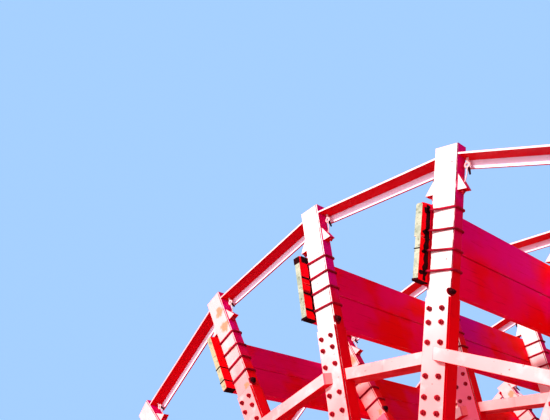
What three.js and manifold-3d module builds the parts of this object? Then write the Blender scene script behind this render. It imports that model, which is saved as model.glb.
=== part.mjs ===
// Paddle wheel of a large sternwheel boat, with its shaft, cranks, bearings and the two wheel
// beams on the transom girder that carry it. Millimetres, +X to the bow, +Y to port, +Z up.
// The origin is the middle of the girder's forward face, which bolts to the boat's stern.
import * as THREE from 'three';
import { ConvexGeometry } from 'three/addons/geometries/ConvexGeometry.js';
import { mergeVertices } from 'three/addons/utils/BufferGeometryUtils.js';
import Module from 'manifold-3d';

const wasm = await Module();
wasm.setup();

const SEAT = 0.3;

// Where the wheel's axis lies in the part's frame.
const WHEEL = { x: -5250, z: 780 };

// The wheel: six ring frames of eighteen arms each.
const ARMS = 18;
const STEP = (2 * Math.PI) / ARMS;
const PHASE = THREE.MathUtils.degToRad(-2.88);
const RINGS = 6;
const RING_PITCH = 1829;
const ARM = { root: 650, tip: 4267, wide: 200, thick: 100 };

// Rim angle iron between the arms: a flange flush with the arms' outer faces and, behind the arms,
// a leg turned inward that stops short of them.
const RIM = { r: 4206, flange: 146, leg: 84, thick: 16, cope: 15 };

// Inner bars. By turns one is lapped on the port side of the arms, with bevelled ends, and one is
// let into them and reaches out on the starboard side. The bar at lowBar was hung a little low.
const BAR = { r: 2703, high: 87, thick: 84, overlap: 6, inset: 20, behind: 95, lowBar: 17, low: 22 };
const BAR_END = { front: 38, back: -7, letIn: 4 };

// Bolted splice plates on both sides of an outer frame's arms.
const PLATE = { low: 2262, high: 3094, wide: 190, thick: 20 };

// Triangular gussets beside the arms under the rim, outer frames only.
const GUSSET = { top: 4030, bottom: 3890, reach: 80, thick: 60, recess: 15 };

// Buckets: an outer and an inner plank over the whole width, and on their forward side one steel
// clamp plate per frame, which takes the nuts of the U-bolts round the arm.
const PLANK = { low: 3200, seam: 3530, high: 3830, thick: 62, gap: 6, overhang: 120 };
const CLAMP = { low: 3224, high: 3806, wide: 190, thick: 14, sunk: 4 };

// Hubs: a boss on the shaft and two discs that hold the arms' roots.
const HUB = { boss: 420, half: 260, disc: 1060, discThick: 42, root: 600, sides: 18 };

// Shaft radii to its flats, and where along its half length they change.
const SHAFT = { body: 250, journal: 200, seat: 170, sides: 36 };
const SHAFT_AT = { journal: 4860, seat: 5363.7, end: 5560 };

// Cranks, a quarter turn apart, each with a wrist pin.
const CRANK = { throw: 1220, from: 5364, thick: 170, boss: 330, eye: 230, bossThick: 200 };
const PIN = { r: 110, head: 150, reach: 330, collar: 40 };

// Bearings on the wheel beams.
const BEARING = { y: 5100, half: 160, bore: 200.9, outer: 330, foot: 560, footHigh: 70, gap: 0.3 };

// Wheel beams: a web, two flanges, stiffeners, tapering towards the aft end.
const BEAM = { y: 5100, web: 240, flange: 420, flangeThick: 32, aft: -6420, deep: 900, shallow: 520 };
const BEAM_TAPER_AT = -2600;
const STIFFENERS = [-1520, -2560, -3600, -4640, -5480];

// Transom girder.
const GIRDER = { half: 5330, long: 600, high: 450, flangeThick: 36, ribEvery: 1060, ribs: 9 };

const COLOURS = {
  frame: 0xe23c5a,
  bucket: 0xc8102e,
  hub: 0xb01226,
  shaft: 0x8b8f94,
  crank: 0xa51420,
  pin: 0xb8bcc0,
  bearing: 0x2d3236,
  beam: 0xe9e6df,
};

function toManifold(geometry) {
  const bare = geometry.index ? geometry.toNonIndexed() : geometry.clone();
  bare.deleteAttribute('normal');
  bare.deleteAttribute('uv');
  const merged = mergeVertices(bare, 1e-4);
  return new wasm.Manifold(new wasm.Mesh({
    numProp: 3,
    vertProperties: new Float32Array(merged.attributes.position.array),
    triVerts: new Uint32Array(merged.index.array),
  }));
}

function toGeometry(solid) {
  const mesh = solid.getMesh();
  const geometry = new THREE.BufferGeometry();
  geometry.setAttribute('position', new THREE.BufferAttribute(new Float32Array(mesh.vertProperties), 3));
  geometry.setIndex(new THREE.BufferAttribute(new Uint32Array(mesh.triVerts), 1));
  const flat = geometry.toNonIndexed();
  flat.computeVertexNormals();
  return flat;
}

function join(geometries) {
  let solid = toManifold(geometries[0]);
  for (const geometry of geometries.slice(1)) {
    solid = solid.add(toManifold(geometry));
  }
  return toGeometry(solid);
}

function cut(geometry, tools) {
  let solid = toManifold(geometry);
  for (const tool of tools) {
    solid = solid.subtract(toManifold(tool));
  }
  return toGeometry(solid);
}

function box(x0, x1, y0, y1, z0, z1) {
  const geometry = new THREE.BoxGeometry(x1 - x0, y1 - y0, z1 - z0);
  geometry.translate((x0 + x1) / 2, (y0 + y1) / 2, (z0 + z1) / 2);
  return geometry;
}

// A polygon of (x, z) points, drawn out along Y from y0 to y1.
function prism(points, y0, y1) {
  const shape = new THREE.Shape(points.map(([x, z]) => new THREE.Vector2(x, z)));
  const geometry = new THREE.ExtrudeGeometry(shape, { depth: y1 - y0, bevelEnabled: false });
  geometry.rotateX(Math.PI / 2);
  geometry.translate(0, y1, 0);
  return geometry;
}

// A closed profile of (radius, y) points, turned about the Y axis.
function turned(profile, sides, phase = 0) {
  const points = profile.map(([r, y]) => new THREE.Vector2(r, y));
  const geometry = new THREE.LatheGeometry(points, sides, phase, 2 * Math.PI);
  return geometry;
}

// A polygon's corner radius whose flats lie at the wanted radius.
function cornerRadius(flat, sides) {
  return flat / Math.cos(Math.PI / sides);
}

// Arm coordinates: r along the arm, t across it towards the aft side. Arm 0 stands near the top.
function onArm(geometry, index) {
  geometry.rotateY(-(PHASE + index * STEP));
  return geometry;
}

function armBox(index, r0, r1, t0, t1, y0, y1) {
  return onArm(box(-t1, -t0, y0, y1, r0, r1), index);
}

// A straight bar between the centre lines of arm index and the next one, each end moved in by
// inset. Its section is given as (height below the chord, y) points.
function chord(index, radius, inset, section) {
  const half = STEP / 2;
  const reach = radius * Math.sin(half) - inset;
  const level = radius * Math.cos(half);
  const shape = new THREE.Shape(section.map(([down, y]) => new THREE.Vector2(y, level - down)));
  const geometry = new THREE.ExtrudeGeometry(shape, { depth: 2 * reach, bevelEnabled: false });
  geometry.rotateX(Math.PI / 2);
  geometry.rotateZ(Math.PI / 2);
  geometry.translate(-reach, 0, 0);
  geometry.rotateY(-(PHASE + (index + 0.5) * STEP));
  return geometry;
}

// An inner bar between arm index and the next one. Its ends are cut along the arms: backInset and
// frontInset are how far they stay from the arms' centre planes at y0 and at y1.
function innerBar(index, y0, y1, backInset, frontInset) {
  const half = STEP / 2;
  const low = index === BAR.lowBar ? BAR.low : 0;
  const level = BAR.r * Math.cos(half) - low;
  const corners = [];
  for (const side of [-1, 1]) {
    for (const [y, inset] of [[y0, backInset], [y1, frontInset]]) {
      for (const z of [level - BAR.high / 2, level + BAR.high / 2]) {
        const reach = z * Math.tan(half) - inset / Math.cos(half);
        corners.push(new THREE.Vector3(side * reach, y, z));
      }
    }
  }
  const geometry = new ConvexGeometry(corners);
  geometry.rotateY(-(PHASE + (index + 0.5) * STEP));
  return geometry;
}

function gusset(index, side, frameFace, outward) {
  const face = frameFace - outward * GUSSET.recess;
  const near = side * (ARM.wide / 2 - 4);
  const far = side * (ARM.wide / 2 + GUSSET.reach);
  const points = [[-near, GUSSET.top], [-near, GUSSET.bottom], [-far, GUSSET.bottom]];
  const inner = face - outward * GUSSET.thick;
  return onArm(prism(points, Math.min(face, inner), Math.max(face, inner)), index);
}

function ringFrame(ring, y) {
  const port = y + ARM.thick / 2;
  const starboard = y - ARM.thick / 2;
  const outward = y > 0 ? 1 : -1;
  const outer = ring === 0 || ring === RINGS - 1;
  const face = outward > 0 ? port : starboard;
  const back = face - outward * RIM.flange;
  const lip = back + outward * RIM.thick;
  const pieces = [];
  for (let i = 0; i < ARMS; i += 1) {
    pieces.push(armBox(i, ARM.root, ARM.tip, -ARM.wide / 2, ARM.wide / 2, starboard, port));
    const flange = [[0, face], [0, back], [RIM.thick, back], [RIM.thick, face]];
    pieces.push(chord(i, RIM.r, ARM.wide / 2 - 12, flange));
    const leg = [[0, lip], [0, back], [RIM.leg, back], [RIM.leg, lip]];
    pieces.push(chord(i, RIM.r, ARM.wide / 2 + RIM.cope, leg));
    const lapPort = i % 2 === 1;
    const y0 = lapPort ? port - BAR.overlap : starboard - BAR.behind;
    const y1 = lapPort ? port + BAR.thick : port - BAR.inset;
    const backInset = lapPort ? BAR_END.back : BAR_END.letIn;
    const frontInset = lapPort ? BAR_END.front : BAR_END.letIn;
    pieces.push(innerBar(i, y0, y1, backInset, frontInset));
    if (outer) {
      for (const side of [-1, 1]) {
        pieces.push(gusset(i, side, face, outward));
      }
      const wide = PLATE.wide / 2;
      pieces.push(armBox(i, PLATE.low, PLATE.high, -wide, wide, port - 4, port + PLATE.thick));
      pieces.push(armBox(i, PLATE.low, PLATE.high, -wide, wide, starboard - PLATE.thick, starboard + 4));
    }
  }
  return join(pieces);
}

function hub(y) {
  const bore = cornerRadius(SHAFT.body + SEAT, HUB.sides);
  const gap = ARM.thick / 2 + SEAT;
  const disc = gap + HUB.discThick;
  const side = [
    [bore, -HUB.half], [HUB.boss, -HUB.half], [HUB.boss, -disc], [HUB.disc, -disc],
    [HUB.disc, -gap], [HUB.root, -gap], [HUB.root, gap], [HUB.disc, gap],
    [HUB.disc, disc], [HUB.boss, disc], [HUB.boss, HUB.half], [bore, HUB.half], [bore, -HUB.half],
  ];
  const geometry = turned(side, HUB.sides, Math.PI / HUB.sides);
  geometry.rotateY(-PHASE);
  geometry.translate(0, y, 0);
  return geometry;
}

function bucket(index) {
  const end = ((RINGS - 1) * RING_PITCH) / 2 + ARM.thick / 2 + PLANK.overhang;
  const near = -(ARM.wide / 2 + SEAT);
  const far = near - PLANK.thick;
  const pieces = [
    box(-near, -far, -end, end, PLANK.low, PLANK.seam - PLANK.gap / 2),
    box(-near, -far, -end, end, PLANK.seam + PLANK.gap / 2, PLANK.high),
  ];
  const from = -far - CLAMP.sunk;
  const half = CLAMP.wide / 2;
  for (let ring = 0; ring < RINGS; ring += 1) {
    const y = ringY(ring);
    pieces.push(box(from, -far + CLAMP.thick, y - half, y + half, CLAMP.low, CLAMP.high));
  }
  return onArm(join(pieces), index);
}

function ringY(ring) {
  return ((RINGS - 1) / 2 - ring) * RING_PITCH;
}

function shaft() {
  const body = cornerRadius(SHAFT.body, SHAFT.sides);
  const journal = cornerRadius(SHAFT.journal, SHAFT.sides);
  const seat = cornerRadius(SHAFT.seat, SHAFT.sides);
  const half = [
    [0, SHAFT_AT.end], [seat, SHAFT_AT.end], [seat, SHAFT_AT.seat],
    [journal, SHAFT_AT.seat], [journal, SHAFT_AT.journal], [body, SHAFT_AT.journal],
  ];
  const mirrored = half.map(([r, y]) => [r, -y]);
  const geometry = turned([...mirrored, ...half.reverse()], SHAFT.sides, Math.PI / SHAFT.sides);
  geometry.rotateY(-PHASE);
  return geometry;
}

// The crank's web is a tapered plate round the boss and the eye.
function crank(side, angle) {
  const boss = CRANK.boss;
  const eye = CRANK.eye;
  const y0 = side > 0 ? CRANK.from : -CRANK.from - CRANK.bossThick;
  const w0 = side > 0 ? CRANK.from : -CRANK.from - CRANK.thick;
  const web = prism([[-boss, 0], [boss, 0], [eye, CRANK.throw], [-eye, CRANK.throw]], w0, w0 + CRANK.thick);
  const ends = turned([[0, y0], [boss, y0], [boss, y0 + CRANK.bossThick], [0, y0 + CRANK.bossThick]], 24);
  const tip = turned([[0, y0], [eye, y0], [eye, y0 + CRANK.bossThick], [0, y0 + CRANK.bossThick]], 24);
  tip.translate(0, 0, CRANK.throw);
  const seat = cornerRadius(SHAFT.seat + SEAT, SHAFT.sides);
  const hole = cornerRadius(PIN.r + SEAT, 16);
  const seatProfile = [[0, y0 - 50], [seat, y0 - 50], [seat, y0 + 350], [0, y0 + 350]];
  const bore = turned(seatProfile, SHAFT.sides, Math.PI / SHAFT.sides);
  bore.rotateY(-PHASE);
  const pinBore = turned([[0, y0 - 50], [hole, y0 - 50], [hole, y0 + 350], [0, y0 + 350]], 16);
  pinBore.translate(0, 0, CRANK.throw);
  pinBore.rotateY(angle);
  const body = join([web, ends, tip]);
  body.rotateY(angle);
  return cut(body, [bore, pinBore]);
}

function crankPin(side, angle) {
  const inner = side * CRANK.from;
  const outer = side * (CRANK.from + CRANK.bossThick + SEAT);
  const end = outer + side * PIN.reach;
  const profile = [
    [0, inner], [PIN.r, inner], [PIN.r, outer], [PIN.head, outer], [PIN.head, outer + side * PIN.collar],
    [PIN.r, outer + side * PIN.collar], [PIN.r, end - side * PIN.collar],
    [PIN.head, end - side * PIN.collar], [PIN.head, end], [0, end],
  ];
  const geometry = turned(side > 0 ? profile : profile.reverse(), 16, Math.PI / 16);
  geometry.translate(0, 0, CRANK.throw);
  geometry.rotateY(angle);
  return geometry;
}

function bearingBore(side) {
  const r = cornerRadius(BEARING.bore, SHAFT.sides);
  const y0 = side * BEARING.y - BEARING.half - 60;
  const y1 = side * BEARING.y + BEARING.half + 60;
  const geometry = turned([[0, y0], [r, y0], [r, y1], [0, y1]], SHAFT.sides, Math.PI / SHAFT.sides);
  geometry.rotateY(-PHASE);
  return geometry;
}

function beamTop() {
  return GIRDER.high;
}

function bearingBase(side) {
  const low = beamTop() + SEAT - WHEEL.z;
  const y0 = side * BEARING.y - BEARING.half;
  const y1 = side * BEARING.y + BEARING.half;
  const o = BEARING.outer;
  const block = box(-o, o, y0, y1, low, -BEARING.gap);
  const foot = box(-BEARING.foot, BEARING.foot, y0, y1, low, low + BEARING.footHigh);
  return cut(join([block, foot]), [bearingBore(side)]);
}

function bearingCap(side) {
  const y0 = side * BEARING.y - BEARING.half;
  const y1 = side * BEARING.y + BEARING.half;
  const o = BEARING.outer;
  const points = [[-o, 0], [o, 0], [o, 80]];
  for (let k = 0; k <= 8; k += 1) {
    const a = THREE.MathUtils.degToRad(18 + k * 18);
    points.push([290 * Math.cos(a), 290 * Math.sin(a)]);
  }
  points.push([-o, 80]);
  return cut(prism(points, y0, y1), [bearingBore(side)]);
}

function wheelBeam(side) {
  const top = beamTop();
  const from = -GIRDER.long - SEAT;
  const y = side * BEAM.y;
  const t = BEAM.flangeThick;
  const taper = BEAM_TAPER_AT;
  const low = top - BEAM.deep;
  const aftLow = top - BEAM.shallow;
  const outline = [[from, low], [from, top], [BEAM.aft, top], [BEAM.aft, aftLow], [taper, low]];
  const web = prism(outline, y - BEAM.web / 2, y + BEAM.web / 2);
  const upper = box(BEAM.aft, from, y - BEAM.flange / 2, y + BEAM.flange / 2, top - t, top);
  const strip = [
    [from, low], [from, low + t], [taper, low + t], [BEAM.aft, aftLow + t], [BEAM.aft, aftLow], [taper, low],
  ];
  const lower = prism(strip, y - BEAM.flange / 2, y + BEAM.flange / 2);
  const pieces = [web, upper, lower];
  for (const x of STIFFENERS) {
    const share = Math.max(0, (x - taper) / (BEAM.aft - taper));
    const floor = low + share * (aftLow - low);
    pieces.push(box(x - 14, x + 14, y - BEAM.flange / 2 + 20, y + BEAM.flange / 2 - 20, floor + 10, top - 10));
  }
  pieces.push(box(from - 30, from, y - BEAM.flange / 2, y + BEAM.flange / 2, low, top));
  pieces.push(box(BEAM.aft, BEAM.aft + 24, y - BEAM.flange / 2, y + BEAM.flange / 2, aftLow, top));
  return join(pieces);
}

function girder() {
  const high = GIRDER.high;
  const t = GIRDER.flangeThick;
  const pieces = [
    box(-GIRDER.long, 0, -GIRDER.half, GIRDER.half, high - t, high),
    box(-GIRDER.long, 0, -GIRDER.half, GIRDER.half, -high, -high + t),
    box(-40, 0, -GIRDER.half, GIRDER.half, -high, high),
    box(-GIRDER.long, -GIRDER.long + 40, -GIRDER.half, -GIRDER.half + 700, -high, high),
    box(-GIRDER.long, -GIRDER.long + 40, GIRDER.half - 700, GIRDER.half, -high, high),
  ];
  for (let k = 0; k < GIRDER.ribs; k += 1) {
    const y = (k - (GIRDER.ribs - 1) / 2) * GIRDER.ribEvery;
    pieces.push(box(-GIRDER.long + 20, -20, y - 13, y + 13, -high + 10, high - 10));
  }
  return join(pieces);
}

const group = new THREE.Group();
group.name = 'paddle_wheel_assembly';

function add(name, geometry, colour, onWheel = true) {
  if (onWheel) {
    geometry.translate(WHEEL.x, 0, WHEEL.z);
  }
  const material = new THREE.MeshStandardMaterial({ color: colour, roughness: 0.55, metalness: 0.1 });
  const mesh = new THREE.Mesh(geometry, material);
  mesh.name = name;
  group.add(mesh);
}

for (let ring = 0; ring < RINGS; ring += 1) {
  add(`ring_frame_${ring + 1}`, ringFrame(ring, ringY(ring)), COLOURS.frame);
  add(`hub_${ring + 1}`, hub(ringY(ring)), COLOURS.hub);
}

for (let index = 0; index < ARMS; index += 1) {
  add(`bucket_${String(index + 1).padStart(2, '0')}`, bucket(index), COLOURS.bucket);
}

add('wheel_shaft', shaft(), COLOURS.shaft);

// Side, name and crank angle from upright towards the bow.
const SIDES = [
  [1, 'port', -0.75 * Math.PI],
  [-1, 'starboard', -0.25 * Math.PI],
];

for (const [side, name, angle] of SIDES) {
  add(`crank_${name}`, crank(side, angle), COLOURS.crank);
  add(`crank_pin_${name}`, crankPin(side, angle), COLOURS.pin);
  add(`bearing_base_${name}`, bearingBase(side), COLOURS.bearing);
  add(`bearing_cap_${name}`, bearingCap(side), COLOURS.bearing);
  add(`wheel_beam_${name}`, wheelBeam(side), COLOURS.beam, false);
}

add('transom_girder', girder(), COLOURS.beam, false);

export default group;
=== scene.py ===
import math
import random

import bmesh
import bpy
import numpy as np
from mathutils import Matrix, Vector


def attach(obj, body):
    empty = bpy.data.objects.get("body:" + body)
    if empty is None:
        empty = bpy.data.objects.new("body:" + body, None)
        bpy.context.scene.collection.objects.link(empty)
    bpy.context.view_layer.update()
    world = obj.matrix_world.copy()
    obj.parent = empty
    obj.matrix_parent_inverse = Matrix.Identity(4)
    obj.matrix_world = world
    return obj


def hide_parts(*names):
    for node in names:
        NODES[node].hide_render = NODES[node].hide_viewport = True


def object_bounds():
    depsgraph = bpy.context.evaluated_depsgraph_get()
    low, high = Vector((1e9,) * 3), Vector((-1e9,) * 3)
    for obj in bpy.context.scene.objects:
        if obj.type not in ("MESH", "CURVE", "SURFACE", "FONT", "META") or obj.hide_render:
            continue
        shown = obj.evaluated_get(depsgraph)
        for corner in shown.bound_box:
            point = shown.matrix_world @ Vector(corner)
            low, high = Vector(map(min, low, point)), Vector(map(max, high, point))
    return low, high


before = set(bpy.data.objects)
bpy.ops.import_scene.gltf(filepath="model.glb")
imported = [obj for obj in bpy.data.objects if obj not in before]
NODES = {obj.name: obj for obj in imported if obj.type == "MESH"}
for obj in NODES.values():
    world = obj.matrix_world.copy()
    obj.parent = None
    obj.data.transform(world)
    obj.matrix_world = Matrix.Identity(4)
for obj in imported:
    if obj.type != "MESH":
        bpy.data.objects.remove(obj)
CAD_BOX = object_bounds()
random.seed(18)

# The wheel's own numbers, in metres. Along an arm a place is given as its distance from the axis.
AXIS_X, AXIS_Z = -5.25, 0.78
ARMS, PHASE = 18, math.radians(-2.88)
STEP = math.tau / ARMS
RINGS, PITCH = 6, 1.829
RING_Y = [((RINGS - 1) / 2 - k) * PITCH for k in range(RINGS)]
# half width and half thickness of an arm
ARM_W, ARM_T = 0.100, 0.050
PLANK_LOW, PLANK_SEAM, PLANK_HIGH = 3.200, 3.530, 3.830
PLANK_T, PLANK_GAP, OVERHANG = 0.062, 0.006, 0.120
PLANK_NEAR = ARM_W + 0.0003
PLANK_FAR = PLANK_NEAR + PLANK_T
CLAMP_LOW, CLAMP_HIGH, CLAMP_HALF, CLAMP_T = 3.224, 3.806, 0.095, 0.014
PLATE_LOW, PLATE_HIGH, PLATE_HALF, PLATE_T = 2.262, 3.094, 0.095, 0.020
RIM_R = 4.206
GUSSET_TOP, GUSSET_LOW, GUSSET_REACH, GUSSET_T, GUSSET_IN = 4.030, 3.890, 0.080, 0.060, 0.015
HUB_FACE = 0.0923
WHEEL, CARRIER = "paddle_wheel", "carrier"

# Rust-stained spots on the arms' side faces: arm, radius, place across the arm, size.
RUST_SPOTS = ((17, 4.055, -0.024, 0.070), (17, 3.860, -0.026, 0.078), (17, 3.586, 0.007, 0.034),
              (17, 3.140, -0.045, 0.040), (15, 3.930, 0.020, 0.045), (14, 4.050, -0.010, 0.050),
              (12, 3.700, 0.030, 0.040), (10, 3.980, -0.030, 0.045), (7, 4.060, 0.015, 0.040),
              (4, 3.620, -0.020, 0.045))
# Painted purple sky reflections on the planks' after faces: arm, radius, place along the wheel, strength.
PURPLE_SKY_REFLECTIONS = ((0, 3.86, 2.22, 0.75), (1, 3.93, 4.20, 0.40), (1, 3.68, 3.38, 0.30),
                 (5, 3.55, -1.20, 0.60), (11, 3.60, 0.90, 0.50))
# How much of the salmon paint is left on the wheel's forward side, as it stands.
LEE_SALMON = 0.55
# Arms whose outer U-bolts are splayed, and that get a painted crimson shade strip beside the planks.
LOOSE_ARMS = (1, 5, 9, 13)
# Marks on the arms: the seam's distance from the arm's middle, on arms that lean aft and on the others, and
# where it starts; the painted shadow beside the splice plates, across and along the arm; the painted shade
# at a lapped bar's end.
SEAM_LEANING, SEAM_UPRIGHT, SEAM_START = 0.0930, 0.0840, 3.11
PLATE_SHADOW_AFT, PLATE_SHADOW_BOW, PLATE_SHADOW_LOW, PLATE_SHADOW_HIGH = -0.0989, -0.0953, 2.25, 3.10
BAR_SHADE_NEAR, BAR_SHADE_FAR = 0.030, 0.041


def arm_matrix(i, y=0.0):
    """Arm frame: x towards the bow side of the arm, y to port, z outwards along the arm."""
    phi = PHASE + i * STEP
    c, s = math.cos(phi), math.sin(phi)
    return Matrix(((c, 0, -s, AXIS_X), (0, 1, 0, y), (s, 0, c, AXIS_Z), (0, 0, 0, 1)))


# Meshes
class Proto:
    """A small mesh that is stamped many times into one object."""

    def __init__(self, verts, faces, mats=None):
        self.verts = np.array(verts, float).reshape(-1, 3)
        self.faces = [tuple(f) for f in faces]
        self.mats = mats or [0] * len(self.faces)

    def moved(self, matrix):
        m = np.array(matrix)
        return Proto(self.verts @ m[:3, :3].T + m[:3, 3], self.faces, self.mats)

    def with_mat(self, k):
        return Proto(self.verts, self.faces, [k] * len(self.faces))

    def mirrored(self):
        """The same mesh on the wheel's other side, port for starboard."""
        return Proto(self.verts * (1, -1, 1), [tuple(reversed(f)) for f in self.faces], self.mats)


def joined(*protos):
    verts, faces, mats, base = [], [], [], 0
    for p in protos:
        verts.append(p.verts)
        faces += [tuple(v + base for v in f) for f in p.faces]
        mats += p.mats
        base += len(p.verts)
    return Proto(np.vstack(verts), faces, mats)


def box(x0, x1, y0, y1, z0, z1, bevel):
    """A box between two corners, with chamfered edges."""
    bm = bmesh.new()
    bmesh.ops.create_cube(bm, size=1.0)
    scale = Vector((x1 - x0, y1 - y0, z1 - z0))
    for v in bm.verts:
        v.co = Vector((v.co.x * scale.x + (x0 + x1) / 2, v.co.y * scale.y + (y0 + y1) / 2,
                       v.co.z * scale.z + (z0 + z1) / 2))
    bmesh.ops.bevel(bm, geom=list(bm.edges), offset=bevel, segments=1, affect="EDGES", profile=0.5)
    bm.verts.index_update()
    verts = [v.co[:] for v in bm.verts]
    faces = [[v.index for v in f.verts] for f in bm.faces]
    bm.free()
    return Proto(verts, faces)


def skin(rows, sides):
    """The faces of a closed tube: rows of corners, with as many corners in each."""
    faces = []
    for j in range(rows - 1):
        for k in range(sides):
            a, b = j * sides + k, j * sides + (k + 1) % sides
            faces.append((a, b, b + sides, a + sides))
    last = (rows - 1) * sides
    return faces + [tuple(reversed(range(sides))), tuple(range(last, last + sides))]


def disc_stack(rings, sides):
    """Rings of (radius, height) about +Z, joined by quads and closed at both ends."""
    turns = [math.tau * k / sides for k in range(sides)]
    verts = [(r * math.cos(a), r * math.sin(a), h) for r, h in rings for a in turns]
    return Proto(verts, skin(len(rings), sides))


def tube(points, radius, sides=8):
    """A closed tube along a path of points; radius is one number or one for each point."""
    radii = radius if isinstance(radius, (list, tuple)) else [radius] * len(points)
    pts = [Vector(p) for p in points]
    verts = []
    tangent = (pts[1] - pts[0]).normalized()
    normal = tangent.orthogonal().normalized()
    for k, p in enumerate(pts):
        if k == 0:
            new = tangent
        elif k == len(pts) - 1:
            new = (pts[k] - pts[k - 1]).normalized()
        else:
            ahead, behind = (pts[k + 1] - pts[k]).normalized(), (pts[k] - pts[k - 1]).normalized()
            new = (ahead + behind).normalized()
        normal = (normal - new * normal.dot(new)).normalized()
        side = new.cross(normal)
        for j in range(sides):
            a = math.tau * j / sides
            verts.append(p + normal * (radii[k] * math.cos(a)) + side * (radii[k] * math.sin(a)))
    return Proto([v[:] for v in verts], skin(len(pts), sides))


def strip(corners):
    """A closed strip through sections of four corners each: two near ones, then two far ones."""
    last = len(corners) - 4
    faces = []
    for a in range(0, last, 4):
        d = a + 4
        faces += [(a, a + 1, d + 1, d), (a + 2, d + 2, d + 3, a + 3), (a, d, d + 2, a + 2),
                  (a + 1, a + 3, d + 3, d + 1)]
    faces += [(0, 2, 3, 1), (last, last + 1, last + 3, last + 2)]
    return Proto(corners, faces)


def toward(axis, at, spin=0.0):
    """A matrix that turns +Z to the axis and moves to the point."""
    q = Vector(axis).to_track_quat("Z", "Y").to_matrix().to_4x4()
    return Matrix.Translation(Vector(at)) @ q @ Matrix.Rotation(spin, 4, "Z")


def hex_bolt(size, height, washer, thick, stud=0.0):
    """A hexagon head on a washer, seated at z = 0. size is half the distance over the flats.

    washer and thick are the washer's radius and thickness, and stud is how far the bolt's end stands out.
    """
    corner, top = size / math.cos(math.pi / 6), thick + height
    parts = [disc_stack([(corner, thick), (corner, thick + height * 0.82), (corner * 0.86, top)], 6)]
    if washer:
        parts.append(disc_stack([(washer, 0.0), (washer, thick * 0.7), (washer * 0.94, thick)], 12))
    if stud:
        parts.append(disc_stack([(size * 0.6, top), (size * 0.6, top + stud * 0.8),
                                 (size * 0.45, top + stud)], 8))
    return joined(*parts)


def stamp(name, stamps, materials, body=WHEEL, smooth_angle=None):
    """Joins (proto, matrix) pairs into one object that rides on a body."""
    whole = joined(*[proto.moved(matrix) for proto, matrix in stamps])
    mesh = bpy.data.meshes.new(name)
    mesh.from_pydata(whole.verts.tolist(), [], whole.faces)
    for material in materials:
        mesh.materials.append(material)
    mesh.polygons.foreach_set("material_index", whole.mats)
    if smooth_angle is not None:
        mesh.polygons.foreach_set("use_smooth", [True] * len(mesh.polygons))
        mesh.set_sharp_from_angle(angle=math.radians(smooth_angle))
    mesh.update()
    obj = bpy.data.objects.new(name, mesh)
    bpy.context.scene.collection.objects.link(obj)
    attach(obj, body)
    return obj


# Colours of the wheel's paint and wood, in linear light.
RED, DEEP_RED, DULL_RED = (0.93, 0.0008, 0.010), (0.80, 0.0006, 0.016), (0.56, 0.0015, 0.02)
FADED_AND_GLARE, SALMON, BLUSH = (0.95, 0.62, 0.61), (0.95, 0.27, 0.27), (0.92, 0.66, 0.66)
LEG_PAINTED_LIGHT, MAGENTA, PLUM = (0.98, 0.74, 0.88), (0.74, 0.0006, 0.11), (0.78, 0.0006, 0.24)
RUST, RUST_SCAR, CHIPPED = (0.50, 0.17, 0.05), (0.56, 0.21, 0.10), (0.20, 0.02, 0.015)
BAR_END_SHADE, SEAM_AND_SHADOW_DARK = (0.66, 0.10, 0.15), (0.06, 0.001, 0.012)
PLANK_RED, PLANK_SKY_PURPLE, SKY_REFLECTION_PURPLE = (0.98, 0.0004, 0.006), (0.96, 0.0004, 0.17), (0.62, 0.0004, 0.48)
PLANK_DULL, GRAIN_DARK, BLOT_RED = (0.84, 0.0006, 0.03), (0.62, 0.0008, 0.022), (0.99, 0.004, 0.02)
KNOT_DARK, SCUFFED, NICKED = (0.16, 0.001, 0.012), (0.42, 0.25, 0.17), (0.86, 0.42, 0.40)
WOOD, RING_WOOD, GREY_WOOD = (0.47, 0.45, 0.34), (0.34, 0.31, 0.22), (0.31, 0.32, 0.24)
WARM_WOOD, MOULD, DIRT = (0.50, 0.36, 0.20), (0.13, 0.14, 0.09), (0.12, 0.09, 0.06)
PAINT_DRIP, RED_SHEEN = (0.50, 0.04, 0.04), (1.0, 0.25, 0.30)


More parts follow.
